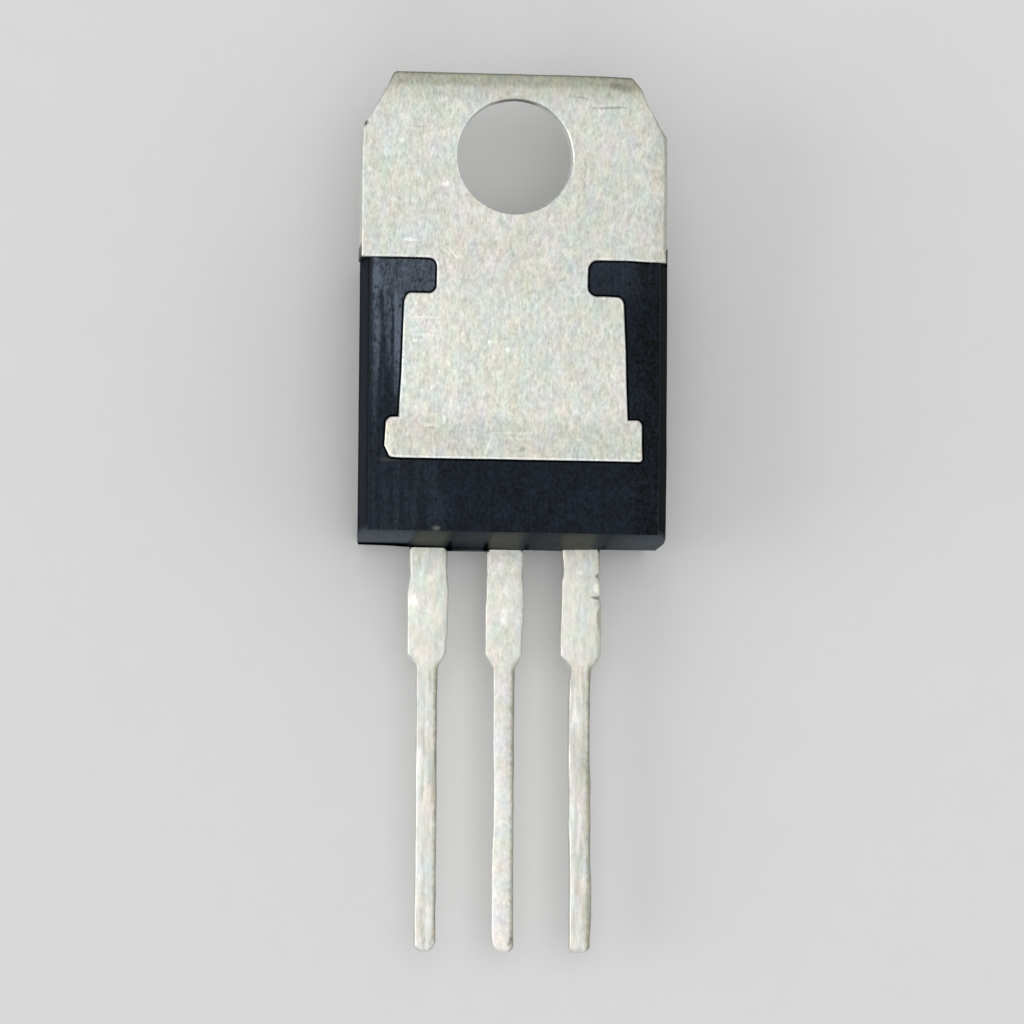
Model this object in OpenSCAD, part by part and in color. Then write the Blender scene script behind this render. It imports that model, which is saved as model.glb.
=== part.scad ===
// Power transistor in a moulded three-lead package with a bare metal heatsink tab.
//
// The origin is the centre of the mounting hole, on the bare metal mounting face. +Z points out
// of that face, +Y points to the tab's free end, and the leads point to -Y. The package lies on
// its moulded front, so the mounting face is on top. All sizes are in millimetres.

/* [Heatsink tab] */
// Width of the heatsink tab
tab_w = 10.1; // [9.4:0.05:10.8]
// Thickness of the stamped heatsink
tab_t = 1.3; // [1.1:0.05:1.5]
// Length of bare tab above the moulding, on the mounting face
tab_len = 6.2; // [5.8:0.1:7.2]
// Diameter of the mounting hole
hole_d = 3.9; // [3.2:0.05:4.2]
// Distance from the centre of the hole to the tab's free end
hole_to_end = 2.75; // [2.4:0.05:3]
// How far each cut corner of the tab reaches across
corner_cut_w = 1.1; // [0.6:0.05:1.5]
// How far each cut corner of the tab reaches down
corner_cut_h = 1.85; // [1:0.05:2.1]
// Rounding of the cut corners
corner_r = 0.2; // [0.05:0.05:0.4]

/* [Heatsink header] */
// Width of the neck between the two lock notches
neck_w = 5.0; // [4.4:0.1:5.6]
// Height of the lock notches
notch_h = 1.15; // [0.8:0.05:1.5]
// Rounding of the notches' inner corners
notch_r = 0.28; // [0.1:0.02:0.34]
// Width of the header under the notches
header_top_w = 7.3; // [6.6:0.05:7.5]
// Width of the header where it meets its foot
header_low_w = 7.58; // [7.5:0.02:7.8]
// Length of the header between the notches and the foot
header_len = 4.1; // [3.8:0.1:4.4]
// Width of the header's foot
foot_w = 8.5; // [8.3:0.05:8.9]
// Length of the header's foot
foot_len = 1.38; // [1:0.02:1.6]
// Rounding of the header's outer corners
header_r = 0.22; // [0.05:0.01:0.28]

/* [Moulding] */
// Overall thickness, from the mounting face to the moulded front
body_t = 4.5; // [4.3:0.05:4.9]
// Length of the moulding on the mounting face
body_len = 9.25; // [9:0.05:9.8]
// How far the moulding stands out past the tab on each side
side_margin = 0.05; // [0.01:0.01:0.1]
// How far the moulded front reaches up over the tab
front_lip = 0.65; // [0.3:0.05:0.8]
// Depth of the moulding's back below the bare metal
back_recess = 0.05; // [0.02:0.01:0.15]
// Inward slope of the side walls, from the tab's front face to the back
back_side_slope = 0.27; // [0.1:0.01:0.35]
// Inward slope of the end wall, from the leads to the back
back_end_slope = 0.26; // [0.1:0.02:0.4]
// Inward slope of the side walls, from the tab's front face to the front
front_side_slope = 0.22; // [0.1:0.02:0.4]
// Inward slope of the end wall, from the leads to the front
front_end_slope = 0.26; // [0.1:0.02:0.4]
// Inward slope of the wall that faces the hole
front_lip_slope = 0.45; // [0.2:0.05:0.8]
// Rounding of the upright corner at the emitter side
left_corner_r = 0.14; // [0.05:0.01:0.5]
// Rounding of the upright corner at the base side
right_corner_r = 0.34; // [0.05:0.01:0.5]
// How far the thin flash between the leads stands out
flash_out = 0.1; // [0.02:0.01:0.2]

/* [Leads] */
// Distance between the centre lines of two leads
lead_pitch = 2.54; // [2.4:0.01:2.6]
// Thickness of the leads
lead_t = 0.5; // [0.4:0.05:0.6]
// Distance from the mounting face down to the leads
lead_depth = 2.45; // [2.3:0.05:2.6]
// Length of the leads outside the moulding
lead_len = 13.4; // [8:0.1:15]
// Width of the outer leads where they leave the moulding
root_w = 1.25; // [1.1:0.01:1.3]
// Width of the centre lead where it leaves the moulding
centre_root_w = 1.2; // [1.1:0.01:1.26]
// Width of the outer leads' stop section
stop_w = 1.36; // [1.32:0.01:1.5]
// Width of the centre lead's stop section
centre_stop_w = 1.28; // [1.27:0.01:1.5]
// Length of the narrower root before the stop section
root_len = 0.93; // [0.6:0.01:1.2]
// Length over which the root widens to the stop section
root_taper = 0.5; // [0.3:0.05:0.8]
// Distance from the moulding to the stop section's end
stop_end = 3.58; // [3:0.02:4.2]
// Length of the shoulders below the stop section
shoulder_len = 0.47; // [0.35:0.01:0.7]
// Width of the pin that goes through the circuit board
pin_w = 0.72; // [0.6:0.01:0.85]
// Rounding of the pins' tips
tip_r = 0.2; // [0.05:0.01:0.25]

/* [Inside the moulding] */
// Width of the bond posts at the outer leads' inner ends
post_w = 2.2; // [1.6:0.1:2.4]
// Length of the bond posts
post_len = 1.4; // [1.1:0.1:1.5]
// Distance from the moulding's end wall to the bond posts
post_setback = 0.8; // [0.6:0.05:0.9]
// Angle at which the centre lead drops from the header
drop_angle = 55; // [50:1:65]
// Length of the centre lead before it drops
drop_start = 0.3; // [0.25:0.05:0.4]
// Inner radius of the centre lead's bends
bend_r = 0.15; // [0.05:0.01:0.18]
// Width of the silicon die
die_w = 3.8; // [3:0.1:4.6]
// Length of the silicon die
die_len = 3.6; // [3:0.1:3.8]
// Thickness of the silicon die
die_t = 0.25; // [0.2:0.01:0.35]
// Distance from the notches' lower edge to the die
die_setback = 0.6; // [0.3:0.05:0.8]
// Thickness of the solder under the die
solder_t = 0.05; // [0.03:0.01:0.08]
// How far the solder spreads past the die
solder_margin = 0.1; // [0.05:0.01:0.2]
// Diameter of the base bond wire
base_wire_d = 0.2; // [0.15:0.01:0.3]
// Diameter of the emitter bond wire
emitter_wire_d = 0.38; // [0.3:0.01:0.5]
// How far the bond wires' axes rise past the bond posts
wire_rise = 0.7; // [0.6:0.05:0.8]
// Distance from the die's edges to the base bond
base_bond_inset = 0.6; // [0.4:0.05:0.8]
// Distance from the die's edges to the emitter bond
emitter_bond_inset = 1.1; // [0.9:0.05:1.3]

/* [Hidden] */
$fn = 96;

// How far cutting tools run past the faces that they cut
over = 1;
// Flats that make up each rounded corner of a stamped or moulded outline
corner_flats = 6;

// Heights, from the mounting face down to the moulded front
tab_front_z = -tab_t;
lead_back_z = -lead_depth;
lead_front_z = -lead_depth - lead_t;
die_front_z = -tab_t - solder_t - die_t;
wire_z = lead_front_z - wire_rise;

// Places along Y, from the tab's free end to the leads' tips
notch_top_y = hole_to_end - tab_len;
notch_low_y = notch_top_y - notch_h;
foot_top_y = notch_low_y - header_len;
foot_low_y = foot_top_y - foot_len;
body_end_y = notch_top_y - body_len;
post_low_y = body_end_y + post_setback;
post_top_y = post_low_y + post_len;
tip_y = body_end_y - lead_len;
die_top_y = notch_low_y - die_setback;
die_low_y = die_top_y - die_len;

body_w = tab_w + 2 * side_margin;
lip_y = notch_top_y + front_lip;

// The centre lead drops from the header's front face to the level of the outer leads
drop_from_z = tab_front_z + lead_t / 2;
drop_to_z = lead_back_z - lead_t / 2;
drop_start_y = foot_low_y - drop_start;
drop_end_y = drop_start_y - (drop_from_z - drop_to_z) / tan(drop_angle);
drop_mitre = lead_t / 2 * tan(drop_angle / 2);

TIN = "#d9dacb";
EPOXY = "#20242a";
SILICON = "#6f7480";
SOLDER = "#9fa0a3";
ALUMINIUM = "#d5d8dc";

// ---- Outlines with rounded corners: each corner is [x, y, radius] ----

function unit(v) = v / norm(v);
function flat(corner) = [corner.x, corner.y];

// Points that round one corner, given the corners before and after it
function corner_points(before, corner, after) =
    let (to_before = unit(flat(before) - flat(corner)),
         to_after = unit(flat(after) - flat(corner)),
         half_angle = acos(to_before * to_after) / 2,
         centre = flat(corner) + unit(to_before + to_after) * corner.z / sin(half_angle),
         first = flat(corner) + to_before * corner.z / tan(half_angle) - centre,
         last = flat(corner) + to_after * corner.z / tan(half_angle) - centre)
    [for (i = [0:corner_flats])
        centre + corner.z * unit(first * (corner_flats - i) + last * i)];

function rounded(corners) =
    let (n = len(corners))
    [for (i = [0:n - 1])
        each corners[i].z > 0
            ? corner_points(corners[(i + n - 1) % n], corners[i], corners[(i + 1) % n])
            : [flat(corners[i])]];

// Adds the mirror image of the right-hand corners, to close a symmetric outline
function both_sides(right) =
    concat(right, [for (i = [len(right) - 1:-1:0]) [-right[i].x, right[i].y, right[i].z]]);

// Solid between two heights with the given plan
module plate(low_z, high_z, corners) {
    translate([0, 0, low_z]) linear_extrude(high_z - low_z) polygon(rounded(corners));
}

// Solid of the given width in X, from a side view drawn in Y and Z
module side_profile(width, corners) {
    translate([-width / 2, 0, 0]) rotate([90, 0, 90]) linear_extrude(width)
        polygon(rounded(corners));
}

// Solid of the given length in Y, from an end view drawn in X and Z
module end_profile(top_y, length, corners) {
    translate([0, top_y, 0]) rotate([90, 0, 0]) linear_extrude(length) polygon(rounded(corners));
}

// ---- Heatsink, stamped in one piece with the centre lead ----

module header_plate() {
    difference() {
        plate(tab_front_z, 0, both_sides([
            [tab_w / 2 - corner_cut_w, hole_to_end, corner_r],
            [tab_w / 2, hole_to_end - corner_cut_h, corner_r],
            [tab_w / 2, notch_top_y, 0],
            [neck_w / 2, notch_top_y, notch_r],
            [neck_w / 2, notch_low_y, notch_r],
            [header_top_w / 2, notch_low_y, header_r],
            [header_low_w / 2, foot_top_y, 0],
            [foot_w / 2, foot_top_y, header_r],
            [foot_w / 2, foot_low_y, header_r / 2]]));
        translate([0, 0, tab_front_z - over]) cylinder(d = hole_d, h = tab_t + 2 * over);
    }
}

// Bent strip that carries the centre lead down from the header's front face
module collector_drop() {
    half_t = lead_t / 2;
    inside_header_y = foot_low_y + foot_len / 2;
    side_profile(centre_root_w, [
        [inside_header_y, drop_from_z + half_t, 0],
        [drop_start_y - drop_mitre, drop_from_z + half_t, bend_r + lead_t],
        [drop_end_y - drop_mitre, drop_to_z + half_t, bend_r],
        [body_end_y, drop_to_z + half_t, 0],
        [body_end_y, drop_to_z - half_t, 0],
        [drop_end_y + drop_mitre, drop_to_z - half_t, bend_r + lead_t],
        [drop_start_y + drop_mitre, drop_from_z - half_t, bend_r],
        [inside_header_y, drop_from_z - half_t, 0]]);
}

// Right-hand corners of a lead outside the moulding, about its own centre line
function outer_lead_corners(root, stop) = [
    [root / 2, body_end_y - root_len, root_taper / 2],
    [stop / 2, body_end_y - root_len - root_taper, root_taper / 2],
    [stop / 2, body_end_y - stop_end, shoulder_len / 4],
    [pin_w / 2, body_end_y - stop_end - shoulder_len, shoulder_len / 3],
    [pin_w / 2, tip_y, tip_r]];

module collector_lead() {
    plate(lead_front_z, lead_back_z, both_sides(concat(
        [[centre_root_w / 2, body_end_y, 0]],
        outer_lead_corners(centre_root_w, centre_stop_w))));
}

module heatsink_tab() {
    color(TIN) {
        header_plate();
        collector_drop();
        collector_lead();
    }
}

// ---- Outer leads, each with a bond post at its inner end ----

module outer_lead() {
    color(TIN) plate(lead_front_z, lead_back_z, both_sides(concat(
        [[post_w / 2, post_top_y, header_r],
         [post_w / 2, post_low_y, header_r],
         [root_w / 2, post_low_y, header_r]],
        outer_lead_corners(root_w, stop_w))));
}

module base_lead() {
    translate([lead_pitch, 0, 0]) outer_lead();
}

module emitter_lead() {
    translate([-lead_pitch, 0, 0]) outer_lead();
}

// ---- Chip, its solder and its bond wires ----

module silicon_die() {
    color(SILICON) translate([-die_w / 2, die_low_y, die_front_z]) cube([die_w, die_len, die_t]);
}

module die_attach_solder() {
    color(SOLDER)
        translate([-die_w / 2 - solder_margin, die_low_y - solder_margin, tab_front_z - solder_t])
            cube([die_w + 2 * solder_margin, die_len + 2 * solder_margin, solder_t]);
}

// Quarter turn of wire that starts along +Z at the origin and ends along +X
module wire_bend(wire_d, bend_radius) {
    translate([bend_radius, 0, 0]) rotate([90, 0, 0]) rotate([0, 0, 90])
        rotate_extrude(angle = 90) translate([bend_radius, 0]) circle(d = wire_d);
}

// Wire loop from a bond on the die to a bond on a post, each given as [x, y]
module bond_wire(on_die, on_post, wire_d) {
    span = norm(on_post - on_die);
    die_bend = die_front_z - wire_z;
    post_bend = lead_front_z - wire_z;
    // Whole microns, so that the straight run and the bend on the post meet face to face
    run = round((span - die_bend - post_bend) * 1000) / 1000;
    color(ALUMINIUM)
        translate([on_die.x, on_die.y, wire_z])
        rotate([0, 0, atan2(on_post.y - on_die.y, on_post.x - on_die.x)]) {
            translate([0, 0, die_bend]) mirror([0, 0, 1]) wire_bend(wire_d, die_bend);
            translate([die_bend, 0, 0]) rotate([0, 90, 0])
                cylinder(d = wire_d, h = run);
            translate([die_bend + run + post_bend, 0, post_bend]) mirror([1, 0, 0]) mirror([0, 0, 1])
                wire_bend(wire_d, post_bend);
        }
}

module base_bond_wire() {
    bond_wire([die_w / 2 - base_bond_inset, die_low_y + base_bond_inset],
              [lead_pitch, (post_low_y + post_top_y) / 2], base_wire_d);
}

module emitter_bond_wire() {
    bond_wire([emitter_bond_inset - die_w / 2, die_low_y + emitter_bond_inset],
              [-lead_pitch, (post_low_y + post_top_y) / 2], emitter_wire_d);
}

// ---- Moulding, which fills every gap between the pieces inside it ----

module moulding_block() {
    half_w = body_w / 2;
    intersection() {
        end_profile(lip_y, lip_y - body_end_y, [
            [half_w - back_side_slope, -back_recess, 0],
            [half_w, tab_front_z, 0],
            [half_w - front_side_slope, -body_t, 0],
            [front_side_slope - half_w, -body_t, 0],
            [-half_w, tab_front_z, 0],
            [back_side_slope - half_w, -back_recess, 0]]);
        side_profile(body_w, [
            [notch_top_y, -back_recess, 0],
            [notch_top_y, tab_front_z, 0],
            [lip_y, tab_front_z, 0],
            [lip_y - front_lip_slope, -body_t, 0],
            [body_end_y + front_end_slope, -body_t, 0],
            [body_end_y, lead_front_z, 0],
            [body_end_y, lead_back_z, 0],
            [body_end_y + back_end_slope, -back_recess, 0]]);
        plate(-body_t, 0, [
            [half_w, lip_y, 0],
            [half_w, body_end_y, right_corner_r],
            [-half_w, body_end_y, left_corner_r],
            [-half_w, lip_y, 0]]);
    }
}

// Thin web of moulding left between two leads where the mould's halves met
module lead_flash() {
    web_w = lead_pitch - (root_w + centre_root_w) / 2;
    for (side = [-1, 1])
        translate([side * (centre_root_w + web_w) / 2 - web_w / 2, body_end_y - flash_out,
                   lead_front_z])
            cube([web_w, flash_out + post_setback / 2, lead_t]);
}

module moulded_body() {
    color(EPOXY) difference() {
        union() {
            moulding_block();
            lead_flash();
        }
        heatsink_tab();
        base_lead();
        emitter_lead();
        silicon_die();
        die_attach_solder();
        base_bond_wire();
        emitter_bond_wire();
    }
}

heatsink_tab();
base_lead();
emitter_lead();
moulded_body();
silicon_die();
die_attach_solder();
base_bond_wire();
emitter_bond_wire();
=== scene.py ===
import math

import bmesh
import bpy
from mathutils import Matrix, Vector, noise


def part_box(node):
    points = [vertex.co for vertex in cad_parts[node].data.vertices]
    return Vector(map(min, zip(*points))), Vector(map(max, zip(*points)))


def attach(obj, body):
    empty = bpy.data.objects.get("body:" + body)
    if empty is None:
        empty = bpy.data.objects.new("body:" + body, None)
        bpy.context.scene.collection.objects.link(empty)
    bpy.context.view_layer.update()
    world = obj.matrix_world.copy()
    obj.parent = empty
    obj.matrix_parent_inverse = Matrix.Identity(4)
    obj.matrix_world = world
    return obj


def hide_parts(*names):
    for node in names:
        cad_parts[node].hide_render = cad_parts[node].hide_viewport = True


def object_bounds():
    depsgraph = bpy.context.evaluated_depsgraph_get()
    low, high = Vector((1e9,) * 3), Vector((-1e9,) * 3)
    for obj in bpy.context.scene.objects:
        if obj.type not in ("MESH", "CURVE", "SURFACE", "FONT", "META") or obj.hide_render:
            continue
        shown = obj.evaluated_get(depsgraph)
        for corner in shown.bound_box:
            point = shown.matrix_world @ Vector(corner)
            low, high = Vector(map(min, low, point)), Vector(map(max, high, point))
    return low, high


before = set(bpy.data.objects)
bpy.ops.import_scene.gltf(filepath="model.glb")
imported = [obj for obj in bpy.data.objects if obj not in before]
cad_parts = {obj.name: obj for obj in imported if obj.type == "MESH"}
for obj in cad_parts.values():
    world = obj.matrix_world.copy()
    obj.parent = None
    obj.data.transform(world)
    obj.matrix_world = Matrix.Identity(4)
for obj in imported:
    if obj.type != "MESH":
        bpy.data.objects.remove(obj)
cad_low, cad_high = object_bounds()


# ---------------------------------------------------------------------------------------------
# Camera. A long lens that stands almost straight above the bare metal face, a little towards the
# emitter side and the leads.
# ---------------------------------------------------------------------------------------------
MM = 0.001  # the frame is in metres, and this part is drawn in millimetres

camera = bpy.data.objects.new("camera", bpy.data.cameras.new("camera"))
bpy.context.scene.collection.objects.link(camera)
bpy.context.scene.camera = camera
camera.location = Vector((-17.213, -30.315, 176.412)) * MM
camera.rotation_mode = "ZXY"
camera.rotation_euler = [math.radians(a) for a in (5.963, -5.565, 0.421)]
camera.data.sensor_width = 36
camera.data.lens = 191.4
camera.data.clip_start = 0.01
camera.data.clip_end = 60
bpy.context.scene.view_settings.view_transform = "Standard"


# ---------------------------------------------------------------------------------------------
# Heatsink tab and centre lead. One stamping of copper strip, thick where the chip is soldered and
# thin in the lead, plated all over with dull tin. The punch rolls the edge over on the face that
# shows, and the moulding grips the header by its two lock notches.
# ---------------------------------------------------------------------------------------------
ROLL_OVER = 0.075 * MM      # rounding that the punch leaves on the upper edges
ROLL_OVER_STEPS = 4
BURR_ROUNDING = 0.035 * MM  # rounding of the lower edges
BURR_STEPS = 2
SAME_PLACE = 1e-7           # points this near each other are one point
NEAR = 0.004 * MM           # a cut that passes this near a corner goes through it
ONE_FLAT = math.radians(0.4)    # triangles that differ by less make up one flat face
SHARP_FROM = math.radians(24)   # edges that turn by more stay sharp
LEVEL, NOT_LEVEL, UPRIGHT = 0.99, 0.9, 0.5  # z of a normal: at least the first, below the others

# Places on the part, and how far its shape leaves the drawing, all in millimetres.
tab_low, tab_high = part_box("heatsink_tab")
FREE_END_Y = tab_high.y / MM
NOTCH_TOP_Y = -3.45
FOOT_LOW_Y = -10.08
BODY_END_Y = -12.70
SHOULDER_Y = -15.9          # where the leads begin to narrow
PIN_Y = -17.2               # where they have become pins
TIP_Y = tab_low.y / MM
HALF_TAB = 5.05
LEAD_PITCH = 2.54
TAB_FRONT_Z = -1.3
LEAD_TOP_Z = -2.45
HOLE_RADIUS = 1.95
BORE_LIP = 0.05             # how far the hole's upper edge closes in
BREAK_OUT = 0.02            # how far its lower edge opens, and how much more at the free end
BREAK_OUT_AT_END = 0.12
BREAK_OUT_Z = -0.45         # depth at which it begins to open
NICK_Y = 0.96               # the nick in the emitter side of the tab
WIDE_ROLL = 0.07            # how much wider the roll-over is on the base side of the tab
WIDE_ROLL_FADE = 0.4        # how far in from there its effect ends
FACE_RIPPLE = 0.012         # how far the outlines wander, and how far those of the outer leads do
LEAD_RIPPLE = 0.016
WAVES_X, WAVES_Y = 1.7, 1.3     # waves of that wander in a millimetre
LEAD_SIDE = 0.3             # distance from a lead's middle at which its side moves in full
FACE_STEP_X, FACE_STEP_Y, LEAD_STEP = 0.75, 0.8, 0.3    # between cuts that let an outline bend

# Where the strip's real outline leaves the drawing: x, y, reach in x and y, shift in x and y.
NECK_AND_CORNERS = (
    (-2.50, -4.02, 0.75, 1.00, -0.070, 0.000), (2.50, -4.02, 0.75, 1.00, -0.048, 0.000),
    (-3.66, -4.62, 0.32, 0.30, 0.055, 0.000), (3.66, -4.62, 0.36, 0.32, -0.025, -0.020),
    (-3.72, -6.60, 0.40, 2.30, 0.028, 0.000), (3.72, -6.60, 0.40, 2.30, -0.004, 0.000),
    (-4.25, -8.70, 0.42, 0.42, 0.050, -0.010), (-4.25, -10.08, 0.42, 0.42, 0.145, 0.020),
    (3.35, -3.45, 1.10, 0.40, 0.000, 0.034), (4.25, -8.70, 0.35, 0.35, 0.010, 0.020),
    (4.25, -10.08, 0.40, 0.60, 0.035, -0.005))
TAB_CORNERS = (
    (5.05, 0.90, 0.60, 0.70, 0.000, -0.165), (3.95, 2.75, 0.45, 0.45, -0.050, -0.040),
    (-3.95, 2.75, 0.45, 0.45, -0.060, 0.000), (-5.05, 0.50, 0.30, 0.40, 0.035, 0.000),
    (4.50, 1.80, 0.60, 0.60, -0.085, -0.045))


def whole_faces(node):
    """A CAD node's shape as a bmesh, with its loose triangles joined into whole faces."""
    shape = bmesh.new()
    shape.from_mesh(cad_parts[node].data)
    bmesh.ops.remove_doubles(shape, verts=shape.verts, dist=SAME_PLACE)
    bmesh.ops.dissolve_limit(shape, angle_limit=ONE_FLAT, verts=shape.verts, edges=shape.edges)
    return shape


def at_tab_depth(at):
    """Whether a place in millimetres is no deeper than the thick part of the stamping."""
    return at.z > TAB_FRONT_Z - 0.1


def in_hole(at):
    """Whether a place in millimetres is on the wall of the mounting hole."""
    return at.xy.length < HOLE_RADIUS + 0.1


def on_lead(a, b):
    """Whether an edge is on the straight part of a lead, most of which is outside the moulding."""
    return max(a.y, b.y) < BODY_END_Y + 0.45


def cut(shape, axis, start, stop, step, where=lambda middle: True, walls_only=True):
    """Cuts the walls, or all faces, by evenly spaced planes, so that the outline can bend there."""
    normal = Vector([float(i == axis) for i in range(3)])
    for i in range(int((stop - start) / step + 0.5) + 1):
        faces = [f for f in shape.faces if (not walls_only or abs(f.normal.z) < NOT_LEVEL)
                 and where(f.calc_center_median() / MM)]
        edges = dict.fromkeys(e for f in faces for e in f.edges)
        verts = dict.fromkeys(v for f in faces for v in f.verts)
        bmesh.ops.bisect_plane(shape, geom=[*faces, *edges, *verts], dist=NEAR,
                               plane_co=normal * (start + i * step) * MM, plane_no=normal)


def push(shape, x, y, reach_x, reach_y, dx, dy):
    """Shifts the points round x, y, all in millimetres: fully in the middle, not at the reach."""
    for vert in shape.verts:
        away = math.hypot((vert.co.x / MM - x) / reach_x, (vert.co.y / MM - y) / reach_y)
        if away < 1:
            share = (1 - away ** 4) ** 2 * MM
            vert.co.x += dx * share
            vert.co.y += dy * share


def ripple(shape, depth):
    """Lets every outline wander by a hair, in the same way wherever two pieces share an outline."""
    for vert in shape.verts:
        at = Vector((vert.co.x / MM * WAVES_X, vert.co.y / MM * WAVES_Y, 0.0))
        vert.co.x += noise.noise(at) * depth * MM
        vert.co.y += noise.noise(at + Vector((31, 7, 3))) * depth * MM


def bend_side(shape, middle_x, side, y, reach, shift):
    """Shifts the left (-1) or right (1) side of a lead sideways round y, in millimetres."""
    for vert in shape.verts:
        across = min(1, max(0, (vert.co.x / MM - middle_x) * side / LEAD_SIDE))
        away = abs(vert.co.y / MM - y) / reach
        if away < 1:
            vert.co.x += shift * MM * across * (1 - away ** 4) ** 2


def rim_edges(shape, up, where=lambda a, b: True):
    """The edges where a flat face that looks up (1) or down (-1) meets an upright wall."""
    def is_rim(edge):
        if len(edge.link_faces) != 2 or not where(*(v.co / MM for v in edge.verts)):
            return False
        a, b = (face.normal.z * up for face in edge.link_faces)
        return max(a, b) > LEVEL and abs(min(a, b)) < UPRIGHT
    return [e for e in shape.edges if is_rim(e)]


def rim_layer(shape):
    """A layer holding each corner's painted rim highlight, on the moulding its painted crevice
    shade, none to begin with.
    """
    layer = shape.loops.layers.float_color.new("rim")
    for face in shape.faces:
        for loop in face.loops:
            loop[layer] = (0, 0, 0, 1)
    return layer


def round_edges(shape, edges, size, steps, rim=None, shine=lambda at: 1.0):
    """Bevels the edges, and writes each new face's painted rim highlight, or on the moulding its
    painted crevice shade, in the given layer.
    """
    made = bmesh.ops.bevel(shape, geom=edges, offset=size, offset_type="OFFSET", segments=steps,
                           profile=0.5, affect="EDGES", clamp_overlap=False, material=-1)
    if rim is not None:
        for face in made["faces"]:
            for loop in face.loops:
                loop[rim] = (shine(loop.vert.co / MM),) * 3 + (1,)


def finished(shape, name, material):
    """Turns a bmesh into a piece on the root body, smooth over its roundings only."""
    bmesh.ops.remove_doubles(shape, verts=shape.verts, dist=SAME_PLACE)
    for face in shape.faces:
        face.smooth = True
    mesh = bpy.data.meshes.new(name)
    shape.to_mesh(mesh)
    shape.free()
    mesh.set_sharp_from_angle(angle=SHARP_FROM)
    mesh.materials.append(material)
    piece = bpy.data.objects.new(name, mesh)
    bpy.context.scene.collection.objects.link(piece)
    weighted = piece.modifiers.new("flat faces stay flat", "WEIGHTED_NORMAL")
    weighted.keep_sharp = True
    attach(piece, "root")
    return piece


class Value:
    """One output of a shader node. Arithmetic on it adds Math nodes to the same material."""

    def __init__(self, tree, socket):
        self.tree, self.socket = tree, socket

    def node(self, kind, settings=(), inputs=(), output=0):
        """Adds a node, sets it, then fills its sockets with numbers or links, by name or place."""
        made = self.tree.nodes.new(kind)
        for name, value in dict(settings).items():
            setattr(made, name, value)
        for name, value in dict(inputs).items():
            if isinstance(value, Value):
                self.tree.links.new(value.socket, made.inputs[name])
            else:
                made.inputs[name].default_value = value
        return Value(self.tree, made.outputs[output])

    def maths(self, operation, a, b):
        return self.node("ShaderNodeMath", {"operation": operation}, {0: a, 1: b})

    def __add__(self, other):
        return self.maths("ADD", self, other)

    def __sub__(self, other):
        return self.maths("SUBTRACT", self, other)

    def __rsub__(self, other):
        return self.maths("SUBTRACT", other, self)

    def __mul__(self, other):
        return self.maths("MULTIPLY", self, other)

    __radd__, __rmul__ = __add__, __mul__


def start_material(name):
    """A new material, with its object coordinates in millimetres and its Principled node."""
    material = bpy.data.materials.new(name)
    material.use_nodes = True
    tree = material.node_tree
    shader = tree.nodes["Principled BSDF"]
    place = Value(tree, tree.nodes.new("ShaderNodeTexCoord").outputs["Object"])
    place = place.node("ShaderNodeVectorMath", {"operation": "SCALE"}, {0: place, "Scale": 1 / MM})
    return material, place, shader


def feed(shader, **sockets):
    """Links values to a shader's sockets, or sets plain numbers and colours on them."""
    for name, value in sockets.items():
        socket = shader.inputs[name.replace("_", " ")]
        if isinstance(value, Value):
            shader.id_data.links.new(value.socket, socket)
        else:
            socket.default_value = value


def axis_of(place, axis):
    """One coordinate of a place: 0 for x, 1 for y, 2 for z."""
    return place.node("ShaderNodeSeparateXYZ", {}, {0: place}, axis)


def speckle(place, across, along, detail=0, seed=0, output=0):
    """Noise, about 0.5 on average, with its grains per millimetre across and along the strip."""
    spread = place.node("ShaderNodeMapping", {"vector_type": "POINT"},
                        {"Vector": place, "Location": (seed * 17.3, seed * 5.1, seed * 9.7),
                         "Scale": (across, along, across)})
    return place.node("ShaderNodeTexNoise", {}, {"Vector": spread, "Scale": 1.0, "Detail": detail,
                                                 "Roughness": 0.6}, output)


def mottle(place, seed, *layers):
    """Noises of several sizes about 0: for each, grains across and along, and its strength."""
    total = 0
    for i, (across, along, strength) in enumerate(layers):
        total = (speckle(place, across, along, seed=seed + i) - 0.5) * strength + total
    return total


def between(value, low, high, at_low=0.0, at_high=1.0):
    """Eases from one level to another as the value goes from low to high, and stays there."""
    return value.node("ShaderNodeMapRange", {"interpolation_type": "SMOOTHSTEP", "clamp": True},
                      {"Value": value, "From Min": low, "From Max": high,
                       "To Min": at_low, "To Max": at_high})


MARK_DEPTH = 0.4  # a mark is seen this far above and below its own height


def mark(place, x, y, half_long, half_wide, turn=0.0, z=0.0, soft=0.5):
    """1 inside a small oval or scratch at x, y, z in millimetres, fading out to 0 round it."""
    inside = place.node("ShaderNodeMapping", {"vector_type": "TEXTURE"},
                        {"Vector": place, "Location": (x, y, z),
                         "Rotation": (0, 0, math.radians(turn)),
                         "Scale": (half_long, half_wide, MARK_DEPTH)})
    far = place.node("ShaderNodeVectorMath", {"operation": "LENGTH"}, {0: inside}, "Value")
    return between(far, 1 - soft, 1 + soft, 1, 0)


def tinted(place, colour, factor, tint, blend="MIX"):
    """A colour taken towards another by a factor."""
    return place.node("ShaderNodeMix", {"data_type": "RGBA", "blend_type": blend},
                      {0: factor, 6: colour, 7: tint}, 2)


def torn_edges(place, by):
    """The same place, shifted at random by some hundredths, so that marks get ragged edges."""
    wobble = speckle(place, 5, 5, detail=2, seed=90, output=1)
    wobble = place.node("ShaderNodeVectorMath", {"operation": "SUBTRACT"},
                        {0: wobble, 1: (0.5, 0.5, 0.5)})
    wobble = place.node("ShaderNodeVectorMath", {"operation": "SCALE"}, {0: wobble, "Scale": by})
    return place.node("ShaderNodeVectorMath", {"operation": "ADD"}, {0: place, 1: wobble})


RIM_LIGHT = 1.22  # how much brighter than the flat faces a rim with a painted highlight is


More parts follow.
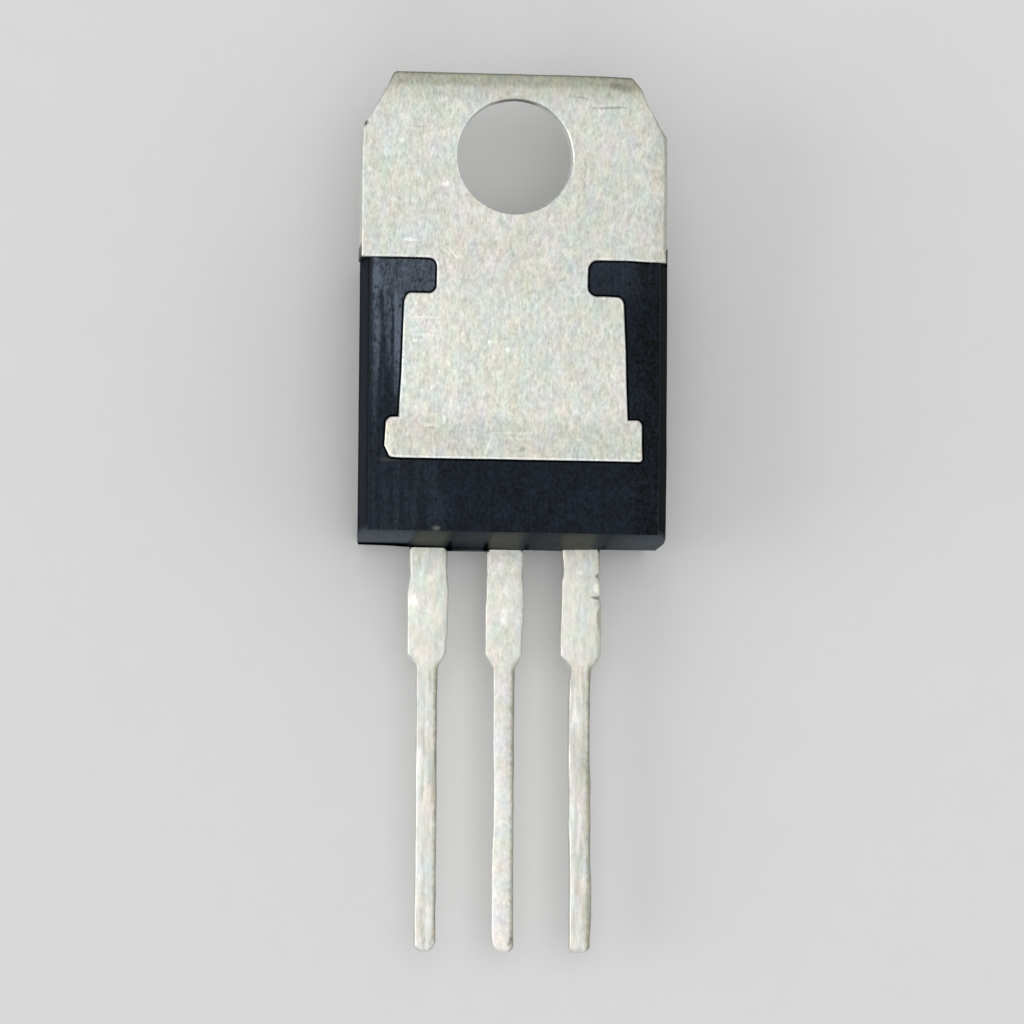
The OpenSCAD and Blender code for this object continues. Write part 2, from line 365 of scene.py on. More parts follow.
def tin_plate(name, colour, grain_layers, tarnish, on_leads=1.0, marks=(), shades=()):
    """Dull tin on rolled copper: grain along Y, specks, faint patches of tarnish, rims with a
    painted highlight.
    """
    material, place, shader = start_material(name)
    y = axis_of(place, 1)
    grain = mottle(place, 1, *grain_layers) * between(y, BODY_END_Y - 0.4, BODY_END_Y, on_leads, 1)
    level = 1 + grain
    bright = speckle(place, 5.5, 3.4, detail=1, seed=11)
    level = level + between(bright, 0.66, 0.80, 0, 0.16)
    dark = speckle(place, 6.5, 4.0, detail=1, seed=12)
    level = level - between(dark, 0.68, 0.82, 0, 0.12)
    torn = torn_edges(place, 0.16)
    for strength, *oval in marks:
        level = level + mark(torn, *oval) * strength
    # The rims get a painted highlight, tinted a little lilac, by their weight in the rim layer.
    rim = place.node("ShaderNodeAttribute", {"attribute_name": "rim", "attribute_type": "GEOMETRY"},
                     {}, "Fac")
    level = level * (1 + rim * (RIM_LIGHT - 1))
    # The painted light and shade, streaks and darkening of the shade functions; where they darken
    # the plate, it is made yellower too.
    painted_light_and_streaks = 1
    for shade in shades:
        painted_light_and_streaks = painted_light_and_streaks * shade(place, torn)
    level = level * painted_light_and_streaks
    clean = between(y, SHOULDER_Y, PIN_Y, 0, 0.026)                 # the pins are less yellow
    patches = ((2.8, 1.7, tarnish), (0.9, 0.7, tarnish * 0.5))
    red = level * (1 + mottle(place, 21, *patches) + clean * 0.5)
    blue = level * (1 + mottle(place, 31, *patches) + rim * 0.04 + clean)
    blue = blue * between(painted_light_and_streaks, 0.55, 1.0, 0.88, 1.0)
    grey = place.node("ShaderNodeCombineColor", {}, {0: red, 1: level, 2: blue})
    skin = tinted(place, colour, 1.0, grey, "MULTIPLY")
    bump = place.node("ShaderNodeBump", {}, {"Strength": 0.6, "Distance": 0.010 * MM,
                                             "Height": grain})
    feed(shader, Base_Color=skin, Metallic=1.0, Normal=bump,
         Roughness=0.44 - grain * 0.3 - rim * 0.06)
    return material


def free_end_shade(place, torn):
    """Painted shade: the free end is darker in bands below its edge, most of all towards its
    base-side chamfer.
    """
    x, y = axis_of(place, 0), axis_of(torn, 1)
    band = (between(y, 1.60, 2.25, 0, 0.17) + between(y, 2.20, 2.46, 0, 0.22)
            + between(y, 2.58, 2.70, 0, 0.12))
    side = between(x, 2.2, 3.8, 0, 1) * between(y, 1.90, 2.40, 0, 0.11)
    return 1 - band - side


def across_shade(place, torn):
    """Painted shade: the plating is a little darker towards the base side, most of all at the
    rolled edge.
    """
    torn_x = axis_of(torn, 0)
    tab_only = between(axis_of(torn, 1), NOTCH_TOP_Y - 0.1, NOTCH_TOP_Y + 0.1, 0, 1)
    at_edge = between(torn_x, 4.30, 4.95, 0, 0.12) + between(torn_x, 4.90, 5.03, 0, 0.06)
    return between(axis_of(place, 0), -5.0, 5.0, 1.02, 0.96) - tab_only * at_edge


def bore_shade(place, torn):
    """The wall of the hole is darker at its top, and below that brighter, a painted highlight."""
    away = place.node("ShaderNodeVectorMath", {"operation": "MULTIPLY"}, {0: place, 1: (1, 1, 0)})
    away = place.node("ShaderNodeVectorMath", {"operation": "LENGTH"}, {0: away}, "Value")
    inside = between(away, HOLE_RADIUS + 0.16, HOLE_RADIUS + 0.12, 0, 1)
    deep = between(axis_of(place, 2), -0.05, -0.12, 0, 1)
    top = between(axis_of(place, 1), 1.68, 1.86, -0.45, 0.60)
    return 1 - inside * deep * top


def darker_notch_walls(place, torn):
    """Darkens the walls of the tab that stand against the moulding, and its outer sides just above
    them.
    """
    x, y, z = (axis_of(place, i) for i in range(3))
    at_wall = between(y, NOTCH_TOP_Y + 0.16, NOTCH_TOP_Y + 0.06, 0, 1)
    on_wall = between(z, -0.05, -0.16, 0, 0.96) * between(z, TAB_FRONT_Z - 0.2, TAB_FRONT_Z, 0, 1)
    at_sides = between(x, 5.00, 5.04, 0, 0.8) + between(x, -5.02, -5.05, 0, 0.8)
    darker_sides = between(y, -2.95, -3.10, 0, 1) * at_sides
    return (1 - at_wall * on_wall) * (1 - darker_sides)


def along_shade(place, torn):
    """The header and the lead are brighter than the tab; the foot is darker, a painted shade."""
    y = axis_of(torn, 1)
    return (between(axis_of(place, 2), -1.6, -2.3, 1.0, 1.09) * between(y, -3.6, -5.2, 1.0, 1.05)
            * between(y, -8.4, -9.1, 1.0, 0.885) * between(y, -10.0, -11.0, 1.0, 1.07)
            * between(y, -19.5, -21.5, 1.0, 1.05))


def lead_edge_shade(place, torn):
    """Each lead's rolled edges: a painted highlight on the emitter side, a painted shade on the
    base side.
    """
    x, y, z = (axis_of(place, i) for i in range(3))
    across = place.node("ShaderNodeMath", {"operation": "WRAP"},
                        {0: axis_of(torn, 0), 1: LEAD_PITCH / 2, 2: -LEAD_PITCH / 2})
    narrow = between(y, -16.4, -16.9, 0, 1)
    wide = 1 - narrow
    upper = between(y, -21.5, -20.0, 0, 0.10) * between(across, -0.02, 0.10, 0, 1)
    by_lead = between(x, 1.0, 2.0, 0.10, 0.22) + between(y, -13.7, -13.2, 0, 0.20) * between(
        x, -2.0, -1.0, 0, 1)
    # dull is the painted shade on the base-side edges, bright the painted highlight on the
    # emitter-side edges.
    dull = (narrow * (between(across, 0.15, 0.31, 0, 0.42) + upper)
            + wide * between(across, 0.47, 0.60, 0, 1) * by_lead)
    bright = (narrow * between(y, -17.5, -21.5, 0.25, 1) * between(across, -0.06, -0.26, 0, 0.09)
              + wide * between(across, -0.36, -0.54, 0, 0.07))
    outside = between(y, BODY_END_Y + 0.2, BODY_END_Y, 0, 1)
    on_top = outside * between(z, LEAD_TOP_Z - 0.14, LEAD_TOP_Z - 0.08, 0, 1)
    return 1 + (bright - dull) * on_top


# Marks are strength, x, y, half length, half width, turn, and on the leads height and softness.
tin_grain = ((19, 9, 0.28), (11, 5.2, 0.30), (5.0, 2.6, 0.16), (1.8, 1.1, 0.08), (0.5, 0.4, 0.07))
heatsink_material = tin_plate(
    "tin plated heatsink", (0.70, 0.71, 0.652, 1), tin_grain, 0.19, on_leads=0.75,
    marks=((0.30, -2.29, -1.00, 0.13, 0.08, 20), (0.26, -3.42, -2.86, 0.30, 0.06, -4),
           (0.24, -3.75, 0.44, 0.10, 0.07, 0), (0.22, -4.80, -0.55, 0.07, 0.09, 0),
           (0.24, -3.26, -6.19, 0.09, 0.06, 0), (0.28, -0.79, -6.20, 0.07, 0.05, 0),
           (0.24, -0.20, -6.46, 0.06, 0.08, 0), (0.22, -2.66, -7.73, 0.10, 0.06, 30),
           (0.26, -2.70, -8.98, 0.22, 0.05, -8), (0.24, -2.28, -8.80, 0.06, 0.13, 0),
           (0.20, -1.93, -8.81, 0.05, 0.12, 0), (0.26, -0.85, -9.69, 0.30, 0.04, 70),
           (0.18, -0.10, -9.20, 0.55, 0.03, 0), (0.16, 0.20, -9.38, 0.50, 0.025, 0),
           (0.16, -2.97, -5.42, 0.52, 0.03, 0), (0.16, -3.00, -6.00, 0.35, 0.05, 0),
           (0.22, -2.00, -3.30, 0.26, 0.04, -45), (0.16, -2.30, -3.20, 0.20, 0.03, -40),
           (0.22, 1.16, 2.23, 0.06, 0.05, 0), (0.18, 0.10, 2.07, 0.16, 0.04, 0),
           (-0.20, 3.50, 2.36, 0.45, 0.12, -12), (-0.34, 3.12, 1.68, 0.52, 0.040, 2),
           (-0.20, 2.20, 1.98, 0.30, 0.025, -6), (-0.18, -3.20, 0.93, 0.32, 0.025, 2),
           (-0.75, -4.99, 0.98, 0.11, 0.09, 40), (-0.20, 1.57, -4.10, 0.09, 0.05, 0),
           (0.16, -4.08, -9.35, 0.13, 0.50, 0), (-0.22, 0.30, -9.75, 0.10, 0.05, 40),
           (0.18, 3.60, 0.60, 0.06, 0.06, 0), (0.15, 0.05, -14.2, 0.10, 0.20, 0, LEAD_TOP_Z),
           (0.17, -0.02, -15.0, 0.09, 0.30, 0, LEAD_TOP_Z),
           (-0.16, 0.02, -15.55, 0.08, 0.10, 0, LEAD_TOP_Z),
           (-0.45, 0.26, -25.75, 0.05, 0.16, -20, LEAD_TOP_Z),
           # These two dark marks at the lead's root are resin flash with a painted shade beside the
           # moulding.
           (-0.95, -0.60, -12.84, 0.13, 0.07, 45, LEAD_TOP_Z),
           (-0.90, 0.60, -12.82, 0.10, 0.06, -45, LEAD_TOP_Z)),
    shades=(free_end_shade, across_shade, bore_shade, darker_notch_walls, along_shade, lead_edge_shade))


def tab_shine(at):
    """The painted highlight on the roll-over: none at the free end and on the base side, and
    brightest along the moulding.
    """
    if at.y < NOTCH_TOP_Y + 0.1:
        return 1.0 if at.y > FOOT_LOW_Y + 0.1 else 1.8
    if at.xy.length < HOLE_RADIUS + 0.2:
        return 1.3 * abs(at.x) / HOLE_RADIUS
    return 0.0 if at.x > 4.7 or at.y > 2.5 else 0.5


def lead_shine(at):
    """The leads' edges get a little painted highlight, the same all along."""
    return 0.2


tab = whole_faces("heatsink_tab")
rim = rim_layer(tab)
# The first two cut through the hole, so that no face has a hole inside its outline.
cut(tab, 0, 0.0, 0.0, FACE_STEP_X, at_tab_depth, walls_only=False)
cut(tab, 1, -3.0, 0.0, 3.0, at_tab_depth, walls_only=False)
cut(tab, 1, TIP_Y + LEAD_STEP, BODY_END_Y + 0.2, LEAD_STEP, lambda at: at.y < BODY_END_Y,
    walls_only=False)
cut(tab, 1, FOOT_LOW_Y + 0.40, FREE_END_Y - 0.3, FACE_STEP_Y,
    lambda at: at_tab_depth(at) and at.y > FOOT_LOW_Y)
cut(tab, 0, -4.5, 4.5, FACE_STEP_X, lambda at: at_tab_depth(at) and not in_hole(at))
cut(tab, 1, NICK_Y - 0.10, NICK_Y + 0.10, 0.10, lambda at: at.x < -4.6)
cut(tab, 2, BREAK_OUT_Z, BREAK_OUT_Z, 1.0, in_hole)
for vert in tab.verts:                  # the punch leaves the hole narrowest just under its edge
    if in_hole(vert.co / MM):
        lip = -BORE_LIP
        if vert.co.z < (TAB_FRONT_Z + 0.1) * MM:
            lip = BREAK_OUT + BREAK_OUT_AT_END * max(0.0, vert.co.y / vert.co.xy.length)
        vert.co.xy *= 1 + lip / HOLE_RADIUS

round_edges(tab, rim_edges(tab, 1, lambda a, b: min(a.z, b.z) > -0.01),
            ROLL_OVER, ROLL_OVER_STEPS, rim, tab_shine)
round_edges(tab, rim_edges(tab, 1, on_lead), ROLL_OVER, ROLL_OVER_STEPS, rim, lead_shine)
round_edges(tab, rim_edges(tab, -1, on_lead), BURR_ROUNDING, BURR_STEPS)
round_edges(tab, rim_edges(tab, -1, lambda a, b: min(a.y, b.y) > NOTCH_TOP_Y - 0.01),
            BURR_ROUNDING, BURR_STEPS)
for shift in NECK_AND_CORNERS + TAB_CORNERS:
    push(tab, *shift)
push(tab, -HALF_TAB, NICK_Y, 0.16, 0.10, 0.030, 0.0)
ripple(tab, FACE_RIPPLE)
for bend in ((-1, -14.2, 0.35, 0.030), (-1, -21.1, 1.8, 0.045), (1, -16.0, 0.7, -0.045),
             (1, -20.0, 6.0, -0.016), (1, -13.3, 0.5, -0.020)):
    bend_side(tab, 0.0, *bend)
push(tab, -0.36, TIP_Y + 0.08, 0.30, 0.30, 0.090, 0.0)
push(tab, 0.04, TIP_Y, 0.24, 0.15, 0.0, -0.020)
for vert in tab.verts:                  # the roll-over is widest on the base side of the tab
    if vert.co.z > -0.2 * MM and vert.co.y > (NOTCH_TOP_Y + 0.2) * MM:
        inset = HALF_TAB - vert.co.x / MM
        share = min(inset / WIDE_ROLL, max(0, 1 - (inset - WIDE_ROLL) / WIDE_ROLL_FADE))
        vert.co.x -= WIDE_ROLL * MM * share
tab_piece = finished(tab, "heatsink_and_centre_lead", heatsink_material)
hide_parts("heatsink_tab")


# ---------------------------------------------------------------------------------------------
# Silicon die and its solder. A bare chip, soldered to the front of the header with soft solder.
# Both are buried in the moulding.
# ---------------------------------------------------------------------------------------------
die_material, place, shader = start_material("sawn silicon")
streak = speckle(place, 6, 1, detail=2)
feed(shader, Base_Color=tinted(place, (0.14, 0.16, 0.20, 1), streak, (0.18, 0.20, 0.25, 1)),
     Metallic=0.4, Roughness=0.18 + streak * 0.12)
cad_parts["silicon_die"].data.materials.clear()
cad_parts["silicon_die"].data.materials.append(die_material)

solder_material, place, shader = start_material("soft solder")
grains = speckle(place, 3, 3, detail=3)
feed(shader, Base_Color=tinted(place, (0.30, 0.30, 0.32, 1), grains, (0.42, 0.42, 0.43, 1)),
     Metallic=1.0, Roughness=0.35 + grains * 0.25)
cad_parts["die_attach_solder"].data.materials.clear()
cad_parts["die_attach_solder"].data.materials.append(solder_material)


# ---------------------------------------------------------------------------------------------
# Base and emitter leads. Each is stamped from the thin part of the same copper strip and plated
# with it, with a wide post inside the moulding for the bond wire.
# ---------------------------------------------------------------------------------------------
HALF_STOP = 0.62              # from a lead's middle to the sides of its widest section, nearly
NICKED_PART = (-14.42, -13.62)  # stretch of the base lead's outer side that has nicks
NICK_STEP = 0.05


def pin_shade(place, torn):
    """The narrow ends are streaked along their length, and each lead's skin differs a little."""
    x, y = axis_of(place, 0), axis_of(place, 1)
    streak = mottle(place, 43, (6.5, 0.7, 0.38), (12, 1.2, 0.26))
    return ((1 + streak * between(y, SHOULDER_Y + 0.1, PIN_Y - 0.3, 0.3, 1))
            * between(x, -2.0, 2.0, 1.0, 0.975) * between(y, SHOULDER_Y, PIN_Y, 1.0, 0.93))


lead_grain = ((17, 6, 0.17), (9, 3.0, 0.21), (4.2, 1.5, 0.14), (1.8, 0.8, 0.08))
lead_material = tin_plate(
    "tin plated leads", (0.78, 0.787, 0.722, 1), lead_grain, 0.19,
    marks=((0.30, -3.00, -14.54, 0.09, 0.17, 0, LEAD_TOP_Z, 0.9),
           (0.30, -2.50, -13.78, 0.07, 0.13, 10, LEAD_TOP_Z, 0.8),
           (0.24, 2.50, -13.55, 0.08, 0.10, 0, LEAD_TOP_Z),
           (0.22, 3.02, -14.02, 0.07, 0.16, 0, LEAD_TOP_Z),
           (-0.60, 3.10, -13.62, 0.07, 0.06, -30, LEAD_TOP_Z),
           (0.25, 3.10, -14.05, 0.06, 0.16, 0, LEAD_TOP_Z),
           (-0.55, 3.02, -14.36, 0.15, 0.045, 0, LEAD_TOP_Z),
           (-0.38, 3.13, -15.05, 0.045, 0.34, 0, LEAD_TOP_Z),
           (-0.16, -2.62, -25.65, 0.05, 0.38, 0, LEAD_TOP_Z),
           (-0.10, -2.74, -14.95, 0.22, 0.04, -20, LEAD_TOP_Z),
           # The last three dark marks, at the leads' roots, are resin flash with a painted shade
           # beside the moulding.
           (-0.90, -3.14, -12.77, 0.10, 0.05, 45, LEAD_TOP_Z),
           (-0.95, -1.94, -12.80, 0.13, 0.07, -45, LEAD_TOP_Z),
           (-0.90, 3.14, -12.78, 0.10, 0.05, -45, LEAD_TOP_Z)),
    shades=(pin_shade, lead_edge_shade))

# Each lead's bends are side, y, reach and shift. Its tip's changes are x, reach and shift, each in
# x and y. Nicks are y and shift.
for node, piece_name, middle_x, bends, tip, nicks in (
        ("emitter_lead", "emitter_lead_stamping", -LEAD_PITCH,
         ((-1, -13.85, 0.5, 0.025), (1, -15.5, 1.3, -0.030), (1, -16.15, 0.55, -0.050),
          (1, -18.6, 2.6, -0.045), (1, -23.5, 4.0, -0.032)),
         ((-2.18, 0.28, 0.30, -0.060, 0.015), (-2.90, 0.16, 0.16, 0.020, 0.040)), ()),
        ("base_lead", "base_lead_stamping", LEAD_PITCH,
         ((-1, -13.35, 0.35, 0.035), (-1, -14.6, 0.9, 0.028), (-1, -16.62, 0.30, 0.065),
          (-1, -18.9, 1.5, -0.022), (-1, -25.0, 3.4, 0.038), (1, -18.6, 2.2, -0.042),
          (1, -24.4, 1.3, 0.045)),
         ((2.90, 0.16, 0.16, -0.020, 0.030),), ((-13.66, -0.06), (-14.36, -0.05)))):
    lead = whole_faces(node)
    rim = rim_layer(lead)
    cut(lead, 1, TIP_Y + LEAD_STEP, BODY_END_Y + 0.2, LEAD_STEP, walls_only=False)
    cut(lead, 1, *NICKED_PART, NICK_STEP, lambda at: at.x > LEAD_PITCH + 0.46)
    round_edges(lead, rim_edges(lead, 1), ROLL_OVER, ROLL_OVER_STEPS, rim, lead_shine)
    round_edges(lead, rim_edges(lead, -1), BURR_ROUNDING, BURR_STEPS)
    for bend in bends:
        bend_side(lead, middle_x, *bend)
    for x, reach_x, reach_y, dx, dy in tip:
        push(lead, x, TIP_Y, reach_x, reach_y, dx, dy)
    for side in (-1, 1):
        push(lead, middle_x + side * HALF_STOP, SHOULDER_Y - 0.38, 0.20, 0.20, 0.0, -0.03)
    for y, dx in nicks:
        push(lead, middle_x + HALF_STOP, y, 0.12, 0.11, dx, 0.0)
    ripple(lead, LEAD_RIPPLE)
    lead_piece = finished(lead, piece_name, lead_material)
    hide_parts(node)


# ---------------------------------------------------------------------------------------------
# Bond wires. Round aluminium wire, pressed on to the die and on to the two posts by ultrasound.
# ---------------------------------------------------------------------------------------------
wire_material, place, shader = start_material("drawn aluminium wire")
drawn = speckle(place, 4, 4, detail=2)
feed(shader, Base_Color=tinted(place, (0.62, 0.64, 0.67, 1), drawn, (0.72, 0.74, 0.77, 1)),
     Metallic=1.0, Roughness=0.22 + drawn * 0.15)
for node in ("base_bond_wire", "emitter_bond_wire"):
    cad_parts[node].data.materials.clear()
    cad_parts[node].data.materials.append(wire_material)


# ---------------------------------------------------------------------------------------------
# Moulding. Black epoxy with silica filler, moulded round the stamping in two mould halves that
# meet at the leads, so its walls slope both ways and thin flash is left between the leads.
# ---------------------------------------------------------------------------------------------
CREVICE_ROUNDING = 0.055 * MM  # where the plastic meets the metal
EDGE_ROUNDING = 0.06 * MM      # outer edges of the back
FRONT_ROUNDING = 0.12 * MM     # outer edges of the front
BACK_Z = -0.05
FRONT_Z = -4.5
WALL_X = 4.5                   # anything further out is on a side wall
EMITTER_SIDE_SHIFT = 0.10      # how far the moulding sits towards the base side, at its two sides
BASE_SIDE_SHIFT = 0.13
FLASH_UNEVENNESS = 0.035       # how much longer the flash is on the emitter side, and shorter
                               # on the base side
STRIPE_SOFTNESS = 0.14
GAP_SOFTNESS = 0.15
MOULDING_CORNERS = (
    (4.95, -12.15, 0.40, 0.55, -0.060, -0.030), (5.08, -12.64, 0.15, 0.15, 0.045, -0.022),
    (3.50, -12.78, 0.50, 0.30, 0.000, 0.045), (-5.00, -12.70, 0.30, 0.30, 0.030, 0.030))

epoxy_material, place, shader = start_material("black moulded epoxy")
x, y, z = (axis_of(place, i) for i in range(3))
dots = mottle(place, 51, (15, 10, 1.5), (8, 5, 1.4), (3.2, 1.6, 0.8), (0.9, 0.6, 0.5))
on_back = between(z, BACK_Z - 0.12, BACK_Z - 0.04, 0, 1)
hook = between(y, -4.75, -4.45, 0, 1)
emitter_side = between(x, -2.0, -2.5, 0, 1)
# The emitter-side column and hook of the back are lighter and streaked: wear, with a painted sheen
# of the light from that side. The base-side hook gets a little of it.
streaks = speckle(place, 5.0, 0.5, detail=1, seed=61)
outer_streak = between(x, -4.38, -4.54, 0, 1) * between(y, -11.8, -9.5, 0, 1)
inner_streak = between(x, -3.96, -3.90, 0, 1) * between(x, -3.70, -3.76, 0, 1) * (1 - hook)
column = (between(streaks, 0.38, 0.64, 0.16, 0.72)
          + inner_streak * between(streaks, 0.30, 0.60, 0.45, 0.85))
wear_and_sheen = emitter_side * (hook * 0.56 + (1 - hook) * column * 0.82) * between(y, -8.8, -5.2, 0.15, 1)
wear_and_sheen = wear_and_sheen + outer_streak * between(y, -9.5, -5.0, 0.08, 0.46)
wear_and_sheen = wear_and_sheen + hook * (1 - emitter_side) * between(x, 3.8, 4.5, 0.09, 0.02)
worn_dots = mottle(place, 71, (17, 8, 1.6), (8, 4, 1.3), (3.2, 1.6, 0.7))
wear_and_sheen = wear_and_sheen * on_back * between(x, -4.73, -4.58, 0.10, 1) * (1 + worn_dots)
wall = 1 - on_back
off_end_wall = between(y, BODY_END_Y + 0.1, BODY_END_Y + 0.5, 0, 1)
side_wall = wall * off_end_wall
base_column = between(x, 3.6, 4.4, 0, 1) * on_back
base_side = between(x, -1.0, 1.0, 0, 1)
upper_half = between(z, TAB_FRONT_Z - 0.30, TAB_FRONT_Z - 0.06, 0, 1)
# Painted shade: the back's base-side column and the side walls are darker, most of all the upper
# half of the base-side wall.
shade = (1 + dots * (1 + base_column * 0.8)) * (1 - base_column * 0.42)
shade = shade * (1 - side_wall * (0.30 + upper_half * (base_side * 0.60 - 0.35)))
grey = place.node("ShaderNodeCombineColor", {}, {0: shade, 1: shade, 2: shade})
base = tinted(place, (0.0095, 0.0143, 0.0225, 1), 1.0, grey, "MULTIPLY")
skin = tinted(place, base, wear_and_sheen, (0.125, 0.152, 0.196, 1))
upward = between(z, -2.90, -2.72, 0, 1)
end_wall = wall * (1 - off_end_wall)
over_lead = lead_shadow = 0             # the end wall over each lead, and the painted shadow just past its base side
for left, right in ((-3.03, -2.05), (-0.62, 0.42), (1.75, 2.82)):
    over_lead = over_lead + (between(x, left - STRIPE_SOFTNESS, left + STRIPE_SOFTNESS, 0, 1)
                             * between(x, right - STRIPE_SOFTNESS, right + STRIPE_SOFTNESS, 1, 0))
    lead_shadow = lead_shadow + (between(x, right - 0.10, right + 0.18, 0, 1)
                                 * between(x, right + 0.40, right + 0.95, 1, 0))
over_lead = over_lead * between(z, -2.70, -2.50, 0, 1)
emitter_corner = between(x, -3.1, -3.3, 0, 1)
outside = emitter_corner + between(x, 3.2, 4.8, 0, 0.62)
# Painted light on the end wall, strongest at its two outer parts, left out over each lead and in
# the painted shadow past it.
lit_wall = end_wall * (0.20 + outside * 0.80) * (1 - over_lead) * (1 - lead_shadow * 0.9)
skin = tinted(place, skin, lit_wall, (0.056, 0.075, 0.092, 1))
# Over each lead the end wall takes an olive tint, a painted reflection of the lead.
skin = tinted(place, skin, end_wall * over_lead, (0.047, 0.052, 0.042, 1))
torn = torn_edges(place, 0.12)
chip = mark(torn, -2.49, -12.37, 0.12, 0.075, 0, BACK_Z)
skin = tinted(place, skin, chip, (0.125, 0.132, 0.120, 1))
seep = mark(torn, -4.16, -10.14, 0.24, 0.06, -3, BACK_Z)
skin = tinted(place, skin, seep * 0.5, (0.085, 0.070, 0.062, 1))
# The crevice where the plastic meets the metal gets a painted shade, by its weight in the rim
# layer.
crevice = place.node("ShaderNodeAttribute", {"attribute_name": "rim", "attribute_type": "GEOMETRY"},
                     {}, "Fac")
bump = place.node("ShaderNodeBump", {}, {"Strength": 0.5, "Distance": 0.002 * MM, "Height": dots})
feed(shader, Base_Color=skin, Roughness=0.50 + dots * 0.1 + side_wall * 0.35, Normal=bump)
shader.inputs["Specular IOR Level"].default_value = 0.09
beside_lead = 0                         # painted shade in small gaps that the mould has left beside the leads' roots
for gap_x, depth in ((-1.86, 0.85), (-0.66, 0.95), (0.68, 0.75), (3.24, 0.65), (-3.20, 0.25),
                     (1.88, 0.25)):
    beside_lead = beside_lead + (between(x, gap_x - GAP_SOFTNESS, gap_x, 0, depth)
                                 * between(x, gap_x, gap_x + GAP_SOFTNESS, 1, 0))
beside_lead = beside_lead * (between(z, -1.5, -2.3, 0.10, 1) + speckle(place, 3, 3, seed=75) * 0.2)
lower_edge = between(z, -2.10, -2.38, 0, 1) * emitter_corner * between(x, -5.00, -4.94, 0, 1)
root_line = (over_lead + lead_shadow * 0.5) * between(z, -2.39, -2.44, 0, 0.6)
side_lines = (between(z, BACK_Z - 0.36, BACK_Z - 0.24, 0, 0.35)
              + between(z, -1.06, -1.20, 0, 0.40)) * (1 - base_side)
# Painted shade: where this is high, the moulding is mixed towards an unlit near-black: in the
# crevice, in the gaps, along the emitter-side lower edge and the roots by the leads, in lines on
# the emitter-side wall and over the upper half of the base-side wall.
painted_shade = (crevice * 0.95 + end_wall * upward * (beside_lead + lower_edge + root_line)
          + side_wall * upper_half * (side_lines + base_side * 0.40))
tree = epoxy_material.node_tree
unlit = place.node("ShaderNodeBsdfDiffuse", {}, {"Color": (0.0012, 0.0012, 0.0020, 1)})
both = place.node("ShaderNodeMixShader", {},
                  {0: painted_shade, 1: Value(tree, shader.outputs[0]), 2: unlit})
tree.links.new(both.socket, tree.nodes["Material Output"].inputs["Surface"])

body = whole_faces("moulded_body")
rim = rim_layer(body)
cut(body, 1, FOOT_LOW_Y + 0.40, FREE_END_Y - 0.3, FACE_STEP_Y,
    lambda at: at_tab_depth(at) and at.y > FOOT_LOW_Y)
cut(body, 0, -4.5, 4.5, FACE_STEP_X, at_tab_depth)
for vert in body.verts:                 # resin reaches further out over the leads, flash is uneven
    at = vert.co / MM
    if at.y < BODY_END_Y - 0.05:
        vert.co.y += (FLASH_UNEVENNESS if at.x > 0 else -FLASH_UNEVENNESS) * MM
    elif at.y < BODY_END_Y + 0.06 and at.z > LEAD_TOP_Z - 0.02:
        for middle_x, longer in ((-LEAD_PITCH, 0.075), (0.0, 0.115), (LEAD_PITCH, 0.080)):
            if abs(at.x - middle_x) < HALF_STOP + 0.04:
                vert.co.y -= longer * MM
for vert in body.verts:                 # this moulding sits a little towards the base side
    at = vert.co / MM
    if at.x < -WALL_X:
        vert.co.x += EMITTER_SIDE_SHIFT * MM
    elif at.x > WALL_X:
        vert.co.x += BASE_SIDE_SHIFT * MM * min(1, max(0, at.z / TAB_FRONT_Z))


def outer_edge(a, b):
    """Whether an edge of the back is at its outside and not against the metal."""
    return min(abs(a.x), abs(b.x)) > WALL_X - 0.01 or max(a.y, b.y) < BODY_END_Y + 0.4


def crevice_edge(a, b):
    """Whether an edge of the back stands against the metal."""
    return min(abs(a.x), abs(b.x)) < WALL_X - 0.05 and max(a.y, b.y) > BODY_END_Y + 0.5


for is_wanted, size, steps, layer in ((outer_edge, EDGE_ROUNDING, 3, None),
                                      (crevice_edge, CREVICE_ROUNDING, 2, rim)):
    back_edges = rim_edges(
        body, 1, lambda a, b: min(a.z, b.z) > BACK_Z - 0.01 and is_wanted(a, b))
    round_edges(body, back_edges, size, steps, layer)
round_edges(body, rim_edges(body, -1, lambda a, b: max(a.z, b.z) < FRONT_Z + 0.1),
            FRONT_ROUNDING, 4)
for shift in NECK_AND_CORNERS + MOULDING_CORNERS:
    push(body, *shift)
ripple(body, FACE_RIPPLE)
body_piece = finished(body, "epoxy_moulding", epoxy_material)
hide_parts("moulded_body")


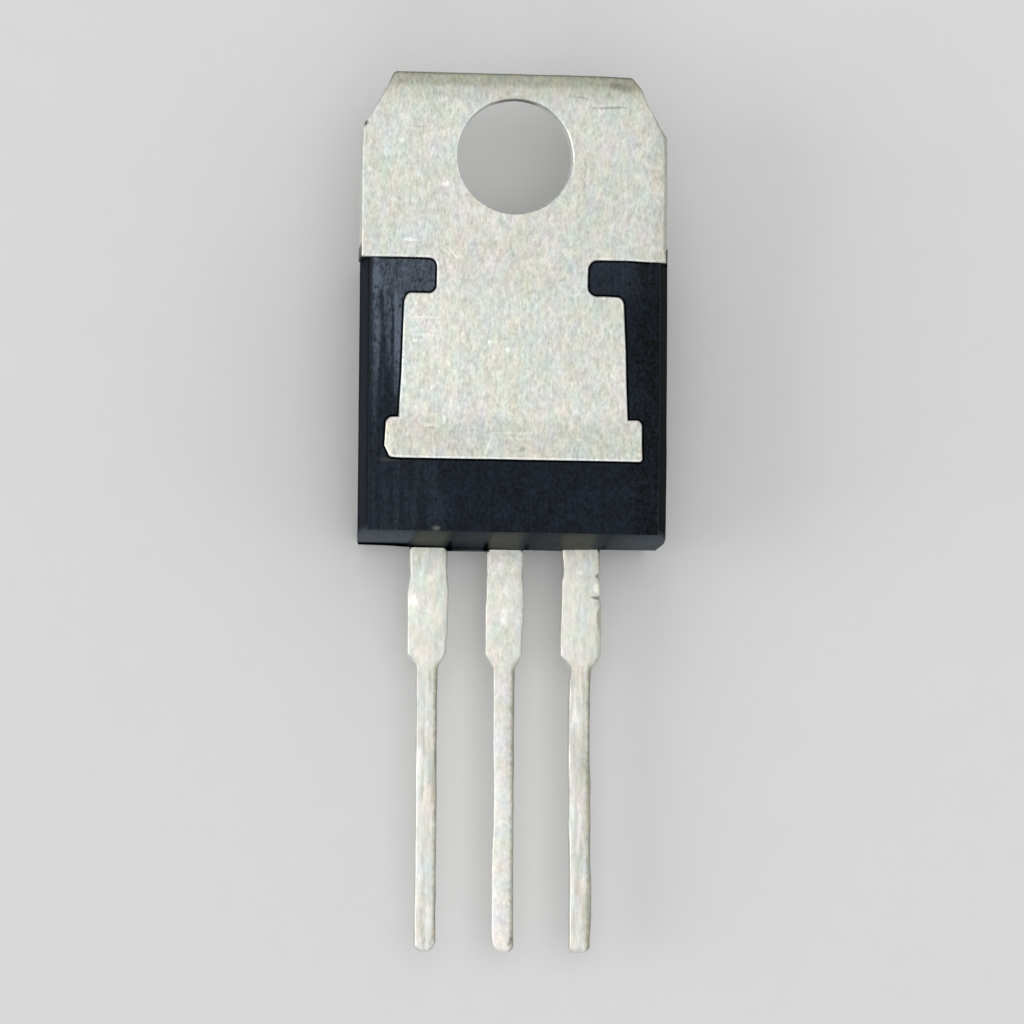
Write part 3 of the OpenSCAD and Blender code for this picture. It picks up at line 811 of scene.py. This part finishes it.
# ---------------------------------------------------------------------------------------------
# Floor and light. A pale matt table, a dim even surround, and soft boxes above and on three
# sides, none of them beyond the tab's free end.
# ---------------------------------------------------------------------------------------------
FLOOR_GREY = 0.86
FLOOR_REACH = 20.0                      # in metres, so that no view shows its edge
SURROUND_LEVEL = 0.50
LAMPS_AIM = Vector((0, -0.012, 0))      # the middle of the part, nearly

floor_shape = bmesh.new()
bmesh.ops.create_grid(floor_shape, x_segments=1, y_segments=1, size=FLOOR_REACH)
bmesh.ops.translate(floor_shape, verts=floor_shape.verts, vec=(0, 0, cad_low.z))
floor_mesh = bpy.data.meshes.new("table_top")
floor_shape.to_mesh(floor_mesh)
floor_shape.free()
floor = bpy.data.objects.new("table_top", floor_mesh)
bpy.context.scene.collection.objects.link(floor)
floor_material, place, shader = start_material("matt table top")
paper = speckle(place, 0.8, 0.8, detail=3)
feed(shader, Base_Color=tinted(place, (FLOOR_GREY * 0.985,) * 3 + (1,), paper,
                               (FLOOR_GREY * 1.015,) * 3 + (1,)), Roughness=0.9)
floor_mesh.materials.append(floor_material)

world = bpy.data.worlds.new("even surround")
bpy.context.scene.world = world
world.use_nodes = True
world.node_tree.nodes["Background"].inputs["Color"].default_value = (1, 1, 1, 1)
world.node_tree.nodes["Background"].inputs["Strength"].default_value = SURROUND_LEVEL

for name, place_at, side, radiance in (("soft_box_above", (0.02, 0.02, 0.90), 0.8, 0.76),
                                       ("soft_box_left", (-0.9, -0.1, 0.45), 0.6, 2.2),
                                       ("soft_box_right", (0.9, -0.1, 0.45), 0.6, 0.4),
                                       ("soft_box_front", (0.0, -0.9, 0.45), 0.6, 0.8)):
    lamp = bpy.data.lights.new(name, "AREA")
    lamp.shape = "SQUARE"
    lamp.size = side
    lamp.energy = radiance * math.pi * side * side
    box = bpy.data.objects.new(name, lamp)
    box.location = place_at
    box.rotation_mode = "QUATERNION"
    box.rotation_quaternion = (LAMPS_AIM - box.location).to_track_quat("-Z", "Y")
    bpy.context.scene.collection.objects.link(box)
